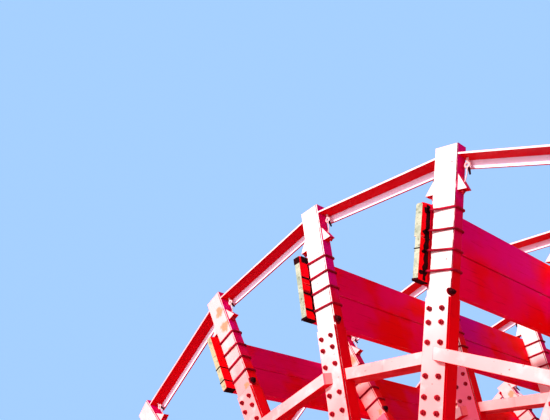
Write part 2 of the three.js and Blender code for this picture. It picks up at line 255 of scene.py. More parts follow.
# Materials
class Nodes:
    """A new material, with short calls that add nodes to it."""

    def __init__(self, name):
        self.mat = bpy.data.materials.new(name)
        self.mat.use_nodes = True
        self.tree = self.mat.node_tree
        self.tree.nodes.clear()
        self.bsdf = self.tree.nodes.new("ShaderNodeBsdfPrincipled")
        output = self.tree.nodes.new("ShaderNodeOutputMaterial")
        self.tree.links.new(self.bsdf.outputs[0], output.inputs[0])
        texture = self.tree.nodes.new("ShaderNodeTexCoord")
        self.coord, self.normal = texture.outputs["Object"], texture.outputs["Normal"]

    def put(self, socket, value):
        if isinstance(value, bpy.types.NodeSocket):
            self.tree.links.new(value, socket)
        elif socket.type == "RGBA" and len(value) == 3:
            socket.default_value = (*value, 1.0)
        else:
            socket.default_value = value

    def node(self, kind, inputs, out=0, **props):
        n = self.tree.nodes.new(kind)
        for key, value in props.items():
            setattr(n, key, value)
        for key, value in inputs.items():
            self.put(n.inputs[key], value)
        return n.outputs[out]

    def math(self, op, a, b=0.0, clamp=False):
        return self.node("ShaderNodeMath", {0: a, 1: b}, operation=op, use_clamp=clamp)

    def plus(self, a, b, clamp=False):
        return self.math("ADD", a, b, clamp)

    def minus(self, a, b):
        return self.math("SUBTRACT", a, b)

    def times(self, a, b):
        return self.math("MULTIPLY", a, b)

    def absolute(self, a):
        return self.math("ABSOLUTE", a)

    def split(self, vector):
        return self.node("ShaderNodeSeparateXYZ", {0: vector}).node.outputs

    def distance(self, a, b):
        return self.node("ShaderNodeVectorMath", {0: a, 1: b}, out=1, operation="DISTANCE")

    def ramp(self, value, low, high, to_low=0.0, to_high=1.0):
        """A smooth step from low to high; low may be the larger of the two."""
        return self.node("ShaderNodeMapRange", {"Value": value, "From Min": low, "From Max": high,
                                                "To Min": to_low, "To Max": to_high},
                         interpolation_type="SMOOTHSTEP")

    def band(self, value, low, high, soft):
        """One between low and high and zero outside, over a soft step at each."""
        rise, fall = self.ramp(value, low - soft, low + soft), self.ramp(value, high + soft, high - soft)
        return self.times(rise, fall)

    def mix(self, factor, a, b):
        return self.node("ShaderNodeMix", {0: factor, 6: a, 7: b}, out=2, data_type="RGBA")

    def noise(self, scale, detail=4.0, rough=0.55, stretch=None, offset=(0, 0, 0), distortion=0.0):
        vector = self.coord
        if stretch or any(offset):
            vector = self.node("ShaderNodeMapping", {"Vector": vector, "Location": offset,
                                                     "Scale": stretch or (1, 1, 1)})
        return self.node("ShaderNodeTexNoise", {"Vector": vector, "Scale": scale, "Detail": detail,
                                                "Roughness": rough, "Distortion": distortion})

    def rounded(self, radius):
        """The normal with the edges rounded to a radius."""
        return self.node("ShaderNodeBevel", {"Radius": radius}, samples=4)

    def bump(self, height, strength, distance, normal=None):
        inputs = {"Height": height, "Strength": strength, "Distance": distance}
        if normal is not None:
            inputs["Normal"] = normal
        return self.node("ShaderNodeBump", inputs)

    def set(self, **values):
        for key, value in values.items():
            self.put(self.bsdf.inputs[key.replace("_", " ")], value)
        return self.mat


class WheelNodes(Nodes):
    """Nodes with the places that marks on the wheel are set out from, in the object's own space."""

    def __init__(self, name):
        super().__init__(name)
        here = self.split(self.coord)
        self.x, self.y, self.z = self.minus(here[0], AXIS_X), here[1], self.minus(here[2], AXIS_Z)
        self.r = self.math("SQRT", self.plus(self.times(self.x, self.x), self.times(self.z, self.z)))
        # the sine of the angle from upright, positive towards the bow
        self.lean = self.math("DIVIDE", self.x, self.r)

    def off_arm(self):
        """Distance from the nearest arm's middle, towards its bow side."""
        angle = self.math("ARCTAN2", self.times(self.x, -1.0), self.z)
        turned = self.plus(self.minus(angle, PHASE), 8 * math.tau + STEP / 2)
        nearest = self.minus(self.math("MODULO", turned, STEP), STEP / 2)
        return self.times(self.math("SINE", nearest), self.times(self.r, -1.0))

    def off_frame(self):
        """Distance from the nearest ring frame's middle, to port."""
        bay = self.math("FRACT", self.plus(self.math("DIVIDE", self.y, PITCH), 4.0))
        return self.minus(self.times(bay, PITCH), PITCH / 2)


def red_with_sky_reflection(n, red, deep, big, mid):
    """The red faces; those that look aft near the rim carry a painted purple sky reflection."""
    facing = n.split(n.normal)
    # painted reflection: faces that look aft near the rim are turned magenta and plum, standing in for blue
    # sky reflected in the gloss
    aft = n.math("DIVIDE", n.minus(n.times(facing[2], n.x), n.times(facing[0], n.z)), n.r)
    upper = n.ramp(n.plus(n.r, n.times(big, 0.5)), 3.56, 3.80)
    aft = n.times(n.ramp(aft, 0.5, 0.95, 0.0, 0.95), upper)
    patch = n.ramp(n.noise(3.2, 3.0, offset=(7, 4, 1)), 0.42, 0.56)
    colour = n.mix(n.ramp(big, 0.35, 0.65), red, deep)
    colour = n.mix(aft, colour, n.mix(patch, MAGENTA, PLUM))
    return n.mix(n.ramp(mid, 0.58, 0.75, 0.0, 0.5), colour, DULL_RED)


def faded_and_glare_sides(n, faded_and_glare, salmon, blush, big, mid):
    """The faces turned to port and starboard, painted pale: partly weathered paint, partly painted sun
    glare. The wheel's forward side is less pale than the rest.
    """
    lee = n.ramp(n.lean, 0.12, 0.40)
    drift = n.plus(n.r, n.times(n.minus(big, 0.5), 1.8))
    drift = n.minus(drift, n.times(lee, 0.8))
    kept = n.math("MAXIMUM", n.ramp(drift, 3.55, 2.25), n.times(lee, LEE_SALMON))
    colour = n.mix(kept, faded_and_glare, salmon)
    colour = n.mix(n.ramp(mid, 0.50, 0.72, 0.0, 0.35), colour, blush)
    # faces that lie back from the frame's port face, such as the rim's leg, are painted a paler pink:
    # painted light on faces in the flange's shade
    back = n.times(n.ramp(n.off_frame(), 0.02, -0.01), n.ramp(n.r, 4.02, 4.06))
    return n.mix(back, colour, LEG_PAINTED_LIGHT)


def rust_scars(n):
    """Where the rust-stained spots are, with ragged rims."""
    place = n.node("ShaderNodeCombineXYZ", {"X": n.x, "Z": n.z})
    ragged = n.times(n.minus(n.noise(24.0, 3.0, offset=(8, 8, 3)), 0.5), 0.11)
    scars = None
    for arm, radius, aside, size in RUST_SPOTS:
        phi = PHASE + arm * STEP
        spot = (aside * math.cos(phi) - radius * math.sin(phi), 0.0,
                aside * math.sin(phi) + radius * math.cos(phi))
        scar = n.ramp(n.plus(n.distance(place, spot), ragged), size, size * 0.45)
        scars = scar if scars is None else n.math("MAXIMUM", scars, scar)
    return scars


def arm_seams_and_shade(n, colour, body, flat, mid):
    """The seam near each arm's after edge, a painted shadow beside the splice plates, and painted shade at
    the ends of lapped bars.
    """
    away, across = n.off_arm(), n.off_frame()
    on_arm = n.ramp(n.absolute(across), 0.080, 0.076)
    # the seam lies nearer to the after edge on the arms that lean aft
    inset = n.ramp(n.lean, -0.25, 0.03, SEAM_LEANING, SEAM_UPRIGHT)
    seam = n.absolute(n.plus(away, n.plus(inset, n.times(mid, 0.005))))
    seam = n.times(n.ramp(seam, 0.0046, 0.0028), n.ramp(n.r, SEAM_START - 0.01, SEAM_START + 0.01))
    beside_plate = n.band(n.r, PLATE_SHADOW_LOW, PLATE_SHADOW_HIGH, 0.01)
    # painted shadow: a thin dark line on the arm's face along the after edge of each splice plate, where the
    # plate casts its shadow
    plate_shadow = n.times(n.band(away, PLATE_SHADOW_AFT, PLATE_SHADOW_BOW, 0.0003), beside_plate)
    dark = n.times(n.plus(seam, plate_shadow, clamp=True), n.ramp(flat, 0.90, 0.98))
    broken = n.ramp(n.noise(11.0, 4.0, offset=(6, 2, 8)), 0.36, 0.50, 0.45, 1.0)
    # the bars that are lapped over the arms have no seam: along their ends runs a painted shade instead
    bar_end_shade_mask = n.times(n.band(n.absolute(away), BAR_SHADE_NEAR, BAR_SHADE_FAR, 0.001), n.ramp(across, 0.120, 0.125))
    colour = n.mix(n.times(bar_end_shade_mask, 0.7), colour, BAR_END_SHADE)
    colour = n.mix(n.times(n.times(dark, on_arm), broken), colour, SEAM_AND_SHADOW_DARK)
    # on the arms that lean aft, the strip right beside the splice plates is given the body's red: painted
    # shade at the plate's edge
    kept = n.times(n.ramp(away, -0.0950, -0.0954), n.ramp(n.lean, -0.10, -0.20))
    return n.mix(n.times(n.times(kept, beside_plate), on_arm), colour, body)


def wheel_paint(name, red, deep, faded_and_glare, salmon, blush=BLUSH, pale_share=1.0, seam=False):
    """Red marine enamel, painted pale on the side faces (partly weathered, partly painted sun glare); with
    seam, also the ring frames' marks, some of them painted shade.
    """
    n = WheelNodes(name)
    round_normal = n.rounded(0.005)
    big = n.noise(1.1, 3.0)
    mid = n.noise(7.0, 5.0, 0.6)
    fine = n.noise(70.0, 4.0, 0.6)
    body = red_with_sky_reflection(n, red, deep, big, mid)
    pale = faded_and_glare_sides(n, faded_and_glare, salmon, blush, big, mid)
    bloom = n.noise(3.4, 6.0, 0.62, offset=(4.0, 1.0, 2.0), distortion=0.6)
    rust = n.times(n.ramp(bloom, 0.64, 0.74), n.ramp(fine, 0.35, 0.6))
    pale = n.mix(n.times(rust, 0.8), pale, RUST)
    if seam:
        pale = n.mix(n.times(rust_scars(n), 0.85), pale, RUST_SCAR)
    # painted glare: the side faces are made pale by their facing, partly weathered paint and partly painted
    # sun glare
    side = n.absolute(n.split(round_normal)[1])
    colour = n.mix(n.times(n.ramp(side, 0.70, 0.97), pale_share), body, pale)
    # painted shade: the slanting ends of the bars between the arms are painted salmon by their facing
    flat = n.absolute(n.split(n.normal)[1])
    colour = n.mix(n.times(n.band(flat, 0.385, 0.495, 0.025), 0.85 * pale_share), colour, salmon)
    if seam:
        colour = arm_seams_and_shade(n, colour, body, flat, mid)
    chip = n.times(n.ramp(n.noise(26.0, 5.0, 0.7, offset=(9, 3, 5)), 0.66, 0.70), 0.8)
    colour = n.mix(chip, colour, CHIPPED)
    rough = n.plus(n.ramp(mid, 0.3, 0.7, 0.30, 0.48), n.times(rust, 0.35))
    height = n.plus(n.times(mid, 0.6), n.times(fine, 0.25))
    height = n.minus(height, n.times(chip, 0.5))
    return n.set(Base_Color=colour, Roughness=rough, Normal=n.bump(height, 0.35, 0.003, round_normal),
                 Specular_IOR_Level=0.05, Specular_Tint=RED_SHEEN)


def plank_red(n, cloud, grain):
    """The planks' reds: a painted purple sky reflection towards the wheel's ends and at set spots, duller
    along the grain.
    """
    y = n.absolute(n.split(n.coord)[1])
    purple = n.plus(n.ramp(cloud, 0.40, 0.60), n.ramp(y, 3.5, 4.4, 0.0, 0.30), clamp=True)
    # past the outer frames the painted reflection stops and the planks are plain red
    purple = n.times(purple, n.ramp(y, 4.63, 4.58))
    red = n.mix(purple, PLANK_RED, PLANK_SKY_PURPLE)
    for arm, radius, place, strength in PURPLE_SKY_REFLECTIONS:
        centre = arm_matrix(arm, place) @ Vector((PLANK_NEAR, 0.0, radius))
        far = n.minus(n.distance(n.coord, tuple(centre)), n.times(cloud, 0.3))
        red = n.mix(n.ramp(far, 0.42, 0.02, 0.0, strength), red, SKY_REFLECTION_PURPLE)
    board = n.noise(1.3, 2.0, 0.5, stretch=(1.0, 0.25, 1.0))
    blot = n.noise(4.5, 5.0, 0.6, offset=(2, 7, 1))
    red = n.mix(n.ramp(board, 0.42, 0.62, 0.0, 0.40), red, PLANK_DULL)
    red = n.mix(n.ramp(grain, 0.56, 0.70, 0.0, 0.5), red, GRAIN_DARK)
    return n.mix(n.ramp(blot, 0.60, 0.76, 0.0, 0.45), red, BLOT_RED)


def plank_paint():
    """Red paint on rough-sawn planks, worn at the edges, with the grain along Y."""
    n = Nodes("plank_paint")
    grain = n.noise(9.0, 8.0, 0.62, stretch=(7.0, 0.35, 7.0), distortion=0.5)
    fine = n.noise(60.0, 5.0, 0.6, stretch=(4.0, 0.25, 4.0))
    cloud = n.noise(1.9, 3.0, 0.55, stretch=(1.0, 0.8, 1.0), offset=(3, 1, 6))
    cells = n.node("ShaderNodeMapping", {"Vector": n.coord, "Scale": (3.2, 0.9, 3.2)})
    knot = n.ramp(n.node("ShaderNodeTexVoronoi", {"Vector": cells, "Scale": 1.0}), 0.10, 0.06)
    colour = n.mix(n.times(knot, 0.75), plank_red(n, cloud, grain), KNOT_DARK)
    scuff = n.noise(11.0, 6.0, 0.7, stretch=(3, 0.5, 3), offset=(5, 5, 2))
    worn = n.times(n.ramp(scuff, 0.68, 0.74), 0.75)
    colour = n.mix(worn, colour, SCUFFED)
    # nicked edges: where a wide rounding of the edges turns the normal
    plain = n.node("ShaderNodeNewGeometry", {}, out=1)
    turn = n.node("ShaderNodeVectorMath", {0: n.rounded(0.016), 1: plain}, out=1, operation="DOT_PRODUCT")
    nick = n.ramp(n.noise(14.0, 5.0, 0.7, stretch=(1, 0.4, 1)), 0.47, 0.60)
    edge = n.times(n.ramp(turn, 0.93, 0.72), nick)
    colour = n.mix(n.times(edge, 0.7), colour, NICKED)
    height = n.plus(n.times(grain, 0.7), n.times(fine, 0.35))
    height = n.minus(height, n.times(worn, 0.4))
    height = n.minus(height, n.times(knot, 0.25))
    return n.set(Base_Color=colour, Roughness=n.ramp(grain, 0.3, 0.7, 0.34, 0.56),
                 Normal=n.bump(height, 0.5, 0.004, n.rounded(0.006)), Specular_IOR_Level=0.015,
                 Specular_Tint=RED_SHEEN)


def end_grain():
    """Bare, weathered end grain of the planks, with year rings round the wheel's axis."""
    n = WheelNodes("plank_end_grain")
    swirl = n.plus(n.r, n.times(n.noise(9.0, 3.0), 0.10))
    rings = n.math("SINE", n.times(swirl, 420.0))
    fine = n.noise(130.0, 5.0, 0.7)
    mould = n.noise(26.0, 5.0, 0.7, offset=(1, 4, 2))
    colour = n.mix(n.ramp(rings, -0.6, 0.9, 0.0, 0.35), WOOD, RING_WOOD)
    colour = n.mix(n.ramp(n.noise(9.0, 5.0, 0.6), 0.46, 0.60), colour, GREY_WOOD)
    colour = n.mix(n.ramp(n.lean, 0.15, 0.40, 0.0, 0.7), colour, WARM_WOOD)
    colour = n.mix(n.ramp(mould, 0.50, 0.66, 0.0, 0.8), colour, MOULD)
    colour = n.mix(n.ramp(fine, 0.55, 0.8, 0.0, 0.5), colour, DIRT)
    colour = n.mix(n.ramp(n.noise(14.0, 3.0, offset=(3, 3, 3)), 0.68, 0.74, 0.0, 0.5), colour, PAINT_DRIP)
    height = n.plus(n.times(rings, 0.15), fine)
    return n.set(Base_Color=colour, Roughness=0.85, Normal=n.bump(height, 0.6, 0.004),
                 Specular_IOR_Level=0.2)


def worn_metal(name, base, other, spot, rough=(0.35, 0.6), metallic=0.0, scale=1.0, coat=0.0, gloss=0.5):
    """Painted or bare iron: two tones, spots of rust or bare metal, an uneven gloss."""
    n = Nodes(name)
    big = n.noise(2.2 * scale, 4.0)
    mid = n.noise(17.0 * scale, 5.0, 0.62)
    fine = n.noise(120.0 * scale, 4.0, 0.6)
    colour = n.mix(n.ramp(big, 0.36, 0.64), base, other)
    colour = n.mix(n.times(n.ramp(mid, 0.60, 0.70), 0.7), colour, spot)
    colour = n.mix(n.ramp(fine, 0.55, 0.8, 0.0, 0.25), colour, tuple(0.5 * c for c in spot))
    height = n.plus(n.times(mid, 0.5), n.times(fine, 0.5))
    return n.set(Base_Color=colour, Roughness=n.ramp(mid, 0.3, 0.7, rough[0], rough[1]), Metallic=metallic,
                 Normal=n.bump(height, 0.4, 0.002, n.rounded(0.004)), Coat_Weight=coat, Coat_Roughness=0.2,
                 Specular_IOR_Level=gloss)


def turned_steel():
    """Machined steel with a lay round its axis, a film of grease and rust in patches."""
    n = Nodes("shaft_steel")
    lay = n.noise(6.0, 3.0, 0.5, stretch=(1.0, 60.0, 1.0))
    big = n.noise(1.8, 4.0, 0.6)
    mid = n.noise(13.0, 6.0, 0.65)
    colour = n.mix(n.ramp(lay, 0.3, 0.7), (0.24, 0.245, 0.25), (0.33, 0.33, 0.325))
    grease = n.ramp(big, 0.44, 0.62)
    colour = n.mix(n.times(grease, 0.75), colour, (0.075, 0.06, 0.045))
    rust = n.times(n.ramp(mid, 0.58, 0.72), n.ramp(big, 0.62, 0.5))
    colour = n.mix(n.times(rust, 0.5), colour, (0.20, 0.085, 0.04))
    rough = n.plus(n.ramp(lay, 0.3, 0.7, 0.34, 0.46), n.times(rust, 0.3))
    height = n.plus(n.times(lay, 0.5), n.times(mid, 0.5))
    return n.set(Base_Color=colour, Roughness=rough, Metallic=0.85, Normal=n.bump(height, 0.25, 0.001))


def beam_paint():
    """Off-white deck paint with rust that runs down from the seams."""
    n = Nodes("beam_paint")
    big = n.noise(0.9, 4.0)
    mid = n.noise(9.0, 6.0, 0.62)
    fine = n.noise(90.0, 4.0)
    run = n.noise(5.0, 5.0, 0.6, stretch=(3.0, 3.0, 0.35), offset=(1, 2, 0))
    colour = n.mix(n.ramp(big, 0.36, 0.64), (0.62, 0.60, 0.55), (0.52, 0.51, 0.48))
    colour = n.mix(n.ramp(run, 0.55, 0.78, 0.0, 0.5), colour, (0.40, 0.31, 0.21))
    rust = n.times(n.ramp(mid, 0.62, 0.72), n.ramp(run, 0.45, 0.6))
    colour = n.mix(n.times(rust, 0.85), colour, (0.34, 0.13, 0.05))
    height = n.plus(n.times(mid, 0.5), n.times(fine, 0.25))
    height = n.minus(height, n.times(rust, 0.4))
    return n.set(Base_Color=colour, Roughness=n.ramp(mid, 0.3, 0.7, 0.40, 0.62),
                 Normal=n.bump(height, 0.35, 0.003, n.rounded(0.006)), Coat_Weight=0.12,
                 Coat_Roughness=0.3)


M_FRAME = wheel_paint("frame_paint", RED, DEEP_RED, FADED_AND_GLARE, SALMON, seam=True)
# the inner frames' splice plates have a redder pale tone: partly their own paint, partly painted shade, as
# they stand behind the outer frame
M_SPLICE = wheel_paint("splice_paint", RED, DEEP_RED, (0.92, 0.22, 0.31), (0.90, 0.12, 0.19),
                       blush=(0.94, 0.32, 0.38))
M_HUB = wheel_paint("hub_paint", (0.42, 0.004, 0.012), (0.30, 0.002, 0.010), (0.62, 0.10, 0.10),
                    (0.50, 0.05, 0.05), blush=(0.68, 0.16, 0.15), pale_share=0.7)
M_CRANK = wheel_paint("crank_paint", (0.46, 0.004, 0.012), (0.34, 0.002, 0.010), (0.60, 0.04, 0.05),
                      (0.50, 0.03, 0.03), blush=(0.62, 0.10, 0.10), pale_share=0.6)
M_PLANK = plank_paint()
M_END = end_grain()
M_STEEL = turned_steel()
M_BEAM = beam_paint()
M_BEARING = worn_metal("bearing_iron", (0.055, 0.060, 0.065), (0.085, 0.088, 0.09), (0.20, 0.085, 0.035),
                       (0.38, 0.62), coat=0.2)
M_UBOLT = worn_metal("ubolt_iron", (0.42, 0.002, 0.030), (0.22, 0.001, 0.012), (0.06, 0.002, 0.006),
                     (0.45, 0.7), scale=3.0, gloss=0.15)
M_DARK = worn_metal("dark_iron", (0.045, 0.001, 0.004), (0.016, 0.001, 0.003), (0.09, 0.003, 0.006),
                    (0.6, 0.8), scale=3.0, gloss=0.12)
M_BLACK = worn_metal("matte_black", (0.012, 0.0008, 0.0015), (0.035, 0.0008, 0.003), (0.004, 0.0008, 0.001),
                   (0.7, 0.9), scale=4.0, gloss=0.08)
M_BOLT = worn_metal("bolt_red", (0.40, 0.0008, 0.014), (0.24, 0.0008, 0.010), (0.10, 0.002, 0.005),
                    (0.4, 0.6), scale=4.0, gloss=0.15)
M_CORNER_SHADE = worn_metal("corner_shade_strip", (0.50, 0.0008, 0.040), (0.62, 0.0008, 0.020), (0.30, 0.0008, 0.020),
                   (0.4, 0.6), scale=2.0, gloss=0.1)
M_PALE = worn_metal("faded_iron", (0.78, 0.40, 0.40), (0.80, 0.52, 0.50), (0.40, 0.02, 0.03),
                    (0.45, 0.7), scale=4.0, gloss=0.2)
M_CLAMP = worn_metal("clamp_plate", (0.40, 0.005, 0.014), (0.26, 0.008, 0.012), (0.28, 0.10, 0.04),
                     (0.4, 0.65), scale=1.5, gloss=0.2)
M_BRASS = worn_metal("oiler_brass", (0.60, 0.42, 0.16), (0.48, 0.31, 0.11), (0.16, 0.10, 0.04),
                     (0.25, 0.45), metallic=0.9, scale=5.0)


def dress(prefix, material):
    for name, obj in NODES.items():
        if name.startswith(prefix):
            obj.data.materials.clear()
            obj.data.materials.append(material)


for prefix, material in (("ring_frame", M_FRAME), ("hub_", M_HUB), ("crank_port", M_CRANK),
                         ("crank_starboard", M_CRANK), ("crank_pin", M_STEEL), ("wheel_shaft", M_STEEL),
                         ("bearing", M_BEARING), ("wheel_beam", M_BEAM), ("transom", M_BEAM),
                         ("bucket", M_PLANK)):
    dress(prefix, material)

# Buckets: planks with worn ends, and their clamp plates
END = (RINGS - 1) * PITCH / 2 + ARM_T + OVERHANG
# how far each arm's planks pass that end; below zero they are cut short of it
TRIM = [random.uniform(-0.014, 0.004) for _ in range(ARMS)]
TRIM[0], TRIM[1], TRIM[17] = -0.008, -0.006, -0.018
# how far the worn top corner at each plank's end lies below the top edge
DROP = [random.uniform(0.0, 0.030) for _ in range(ARMS)]
DROP[0], DROP[1], DROP[17] = 0.034, 0.040, 0.012
# distance of each cut across the plank from its end, and the share of the drop there
CUTS = ((0.0, 1.0), (0.012, 0.92), (0.05, 0.80), (0.085, 0.66), (0.13, 0.52), (0.22, 0.0))


def plank(z0, z1, seed, trim, drop=0.0, seam_low=False, thin=0.0):
    """One plank in the arm frame: rounded edges, a slight wave along its length, worn corners."""
    rng = random.Random(seed)
    end = END + trim
    count, inner = 22, CUTS[-1][0]
    cuts = [(-end + d, share, d) for d, share in CUTS]
    cuts += [(-end + inner + 2 * (end - inner) * k / count, 0.0, 1.0) for k in range(1, count)]
    cuts += [(end - d, share, d) for d, share in reversed(CUTS)]
    verts, faces, mats = [], [], []
    for y, share, d in cuts:
        at_end, near_end = d == 0, d < 0.02
        # how far each face is worn back, and how wide the corners are, outside and at the seam
        worn = (0.004 if at_end else 0.001 if near_end else 0.0) + rng.uniform(0, 0.0012)
        worn_seam = -0.0027 if near_end else worn
        corner = 0.010 if at_end else 0.005
        corner_seam = 0.002 if near_end else 0.005
        low, high = (worn_seam, worn) if seam_low else (worn, worn_seam)
        c_low, c_high = (corner_seam, corner) if seam_low else (corner, corner_seam)
        x0, x1 = PLANK_NEAR + worn * 0.3, PLANK_FAR - worn - (thin if d < 0.06 else 0.0)
        bottom, top = z0 + low, z1 - high - drop * share
        for x, z in ((x0 + c_low, bottom), (x1 - c_low, bottom), (x1, bottom + c_low), (x1, top - c_high),
                     (x1 - c_high, top), (x0 + c_high, top), (x0, top - c_high), (x0, bottom + c_low)):
            verts.append((x, y, z))
    for k in range(len(cuts) - 1):
        for j in range(8):
            a, d = k * 8 + j, k * 8 + (j + 1) % 8
            faces.append((a, a + 8, d + 8, d))
            mats.append(0)
    faces.append(tuple(range(8)))
    faces.append(tuple(reversed(range(len(verts) - 8, len(verts)))))
    mats += [1, 1]
    return Proto(verts, faces, mats)


CLAMP = box(PLANK_FAR, PLANK_FAR + CLAMP_T, -CLAMP_HALF, CLAMP_HALF, CLAMP_LOW, CLAMP_HIGH, 0.002)
for i in range(ARMS):
    m = arm_matrix(i)
    upper = plank(PLANK_SEAM + PLANK_GAP / 2, PLANK_HIGH, i, TRIM[i], drop=DROP[i], seam_low=True)
    lower = plank(PLANK_LOW, PLANK_SEAM - PLANK_GAP / 2, i + 50, TRIM[i], thin=0.012 if i == 1 else 0.0)
    outer = stamp(f"bucket_{i + 1:02d}_outer_plank", [(upper, m)], [M_PLANK, M_END])
    stamp(f"bucket_{i + 1:02d}_inner_plank", [(lower, m)], [M_PLANK, M_END])
    stamp(f"bucket_{i + 1:02d}_clamps", [(CLAMP, arm_matrix(i, y)) for y in RING_Y], [M_CLAMP])
    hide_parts(f"bucket_{i + 1:02d}")

# U-bolts that hold the planks to the arms
ROD = 0.0095
U_RADII = (3.755, 3.592, 3.437, 3.287)
# how much lower the four U-bolts sit on two of the arms
U_LOWER = {0: (0.022, 0.006, 0.0, 0.0), 17: (0.022, 0.015, 0.014, 0.014)}


def u_bolt(splay=0.0):
    """A U-bolt round the arm; splay moves its legs away from the arm where they meet the planks."""
    clear, bend, tip = 0.0005, 0.020, 0.032
    y, back = ARM_T + ROD + clear, -(ARM_W + ROD + clear)
    seat = PLANK_FAR + CLAMP_T
    leg = [(seat + tip, y + splay, 0), (PLANK_NEAR - 0.012, y + splay, 0), (0.02, y + splay * 0.25, 0),
           (back + bend, y, 0)]
    for k in range(1, 5):
        a = math.pi / 2 * k / 4
        leg.append((back + bend - bend * math.sin(a), y - bend + bend * math.cos(a), 0))
    rod = tube(leg + [(px, -py, pz) for px, py, pz in reversed(leg)], ROD)
    nut = hex_bolt(0.017, 0.018, 0.025, 0.004)
    nuts = [nut.moved(toward((1, 0, 0), (seat, s * (y + splay), 0), 0.3 * s)).with_mat(1) for s in (-1, 1)]
    return joined(rod, *nuts)


U_SNUG, U_SPLAYED = u_bolt(), u_bolt(0.018)
for k, y in enumerate(RING_Y):
    stamps = []
    for i in range(ARMS):
        for z, lower in zip(U_RADII, U_LOWER.get(i, (0.0, 0.0, 0.0, 0.0))):
            tilt = Matrix.Rotation(random.uniform(-0.03, 0.03), 4, "Y")
            wobble = Matrix.Translation((0, 0, z - lower + random.uniform(-0.004, 0.004))) @ tilt
            stamps.append((U_SPLAYED if i in LOOSE_ARMS else U_SNUG, arm_matrix(i, y) @ wobble))
    stamp(f"u_bolts_{k + 1}", stamps, [M_UBOLT, M_DARK], smooth_angle=40)


# Dark bands, patches and straps on the planks' overhang, beside the arms of the two outermost ring frames;
# some of them are painted shade
MARK_T = 0.0015
MARK_BACK, MARK_FACE = PLANK_NEAR - 0.0002, PLANK_NEAR - MARK_T


def dark_patch(z, half, y0, y1):
    """A thin patch on the plank's after face."""
    return box(MARK_FACE, MARK_BACK, ARM_T + y0, ARM_T + y1, z - half, z + half, 0.0006)


def dark_blob(z, half, y0, y1, seed):
    """An uneven dark patch on the plank's after face."""
    count, mid, reach = 11, ARM_T + (y0 + y1) / 2, (y1 - y0) / 2
    verts, faces = [], []
    for x in (MARK_FACE, MARK_BACK):
        for k in range(count):
            a, size = math.tau * k / count, random.Random(seed + k).uniform(0.75, 1.12)
            sag = 0.15 * reach * math.cos(a)
            verts.append((x, mid + reach * size * math.cos(a), z + half * size * math.sin(a) - sag))
    for k in range(count):
        d = (k + 1) % count
        faces.append((k, d, d + count, k + count))
    faces += [tuple(reversed(range(count))), tuple(range(count, 2 * count))]
    return Proto(verts, faces)


def dark_wrap(z, half, trim, thin=0.0):
    """A thin strap over the end grain."""
    end = ARM_T + OVERHANG + trim
    return box(MARK_FACE, PLANK_FAR + 0.002 - thin, end - 0.001, end + 0.0025, z - half, z + half, 0.0006)


def shade_sole(trim, y0, y1):
    """A dark film under the plank's lower edge: painted shade on the plank's bottom face near its end."""
    end = ARM_T + OVERHANG + trim
    return box(MARK_FACE, PLANK_FAR - 0.006, ARM_T + y0, min(ARM_T + y1, end - 0.006),
               PLANK_LOW - 0.0015, PLANK_LOW + 0.006, 0.0006)


def dark_band(seed, near, wide):
    """An irregular dark band along the arm, on the plank's after face; near and wide are (low, high)."""
    rng = random.Random(seed)
    count, low, high = 18, PLANK_LOW + 0.012, PLANK_HIGH - 0.045
    corners = []
    for k in range(count + 1):
        t, at_foot = k / count, k < 2
        z = low + (high - low) * t
        y0 = ARM_T + near[0] + (near[1] - near[0]) * t + rng.uniform(-0.003, 0.003)
        # a wide band starts with a narrow foot away from the arm
        y0 = max(y0, ARM_T + 0.001) + (0.022 if at_foot and wide[0] > 0.04 else 0.0)
        share = 0.5 if at_foot else 1.0
        y1 = y0 + share * (wide[0] + (wide[1] - wide[0]) * t) * rng.uniform(0.78, 1.15)
        corners += [(x, y, z) for x in (MARK_FACE, MARK_BACK) for y in (y0, y1)]
    return strip(corners)


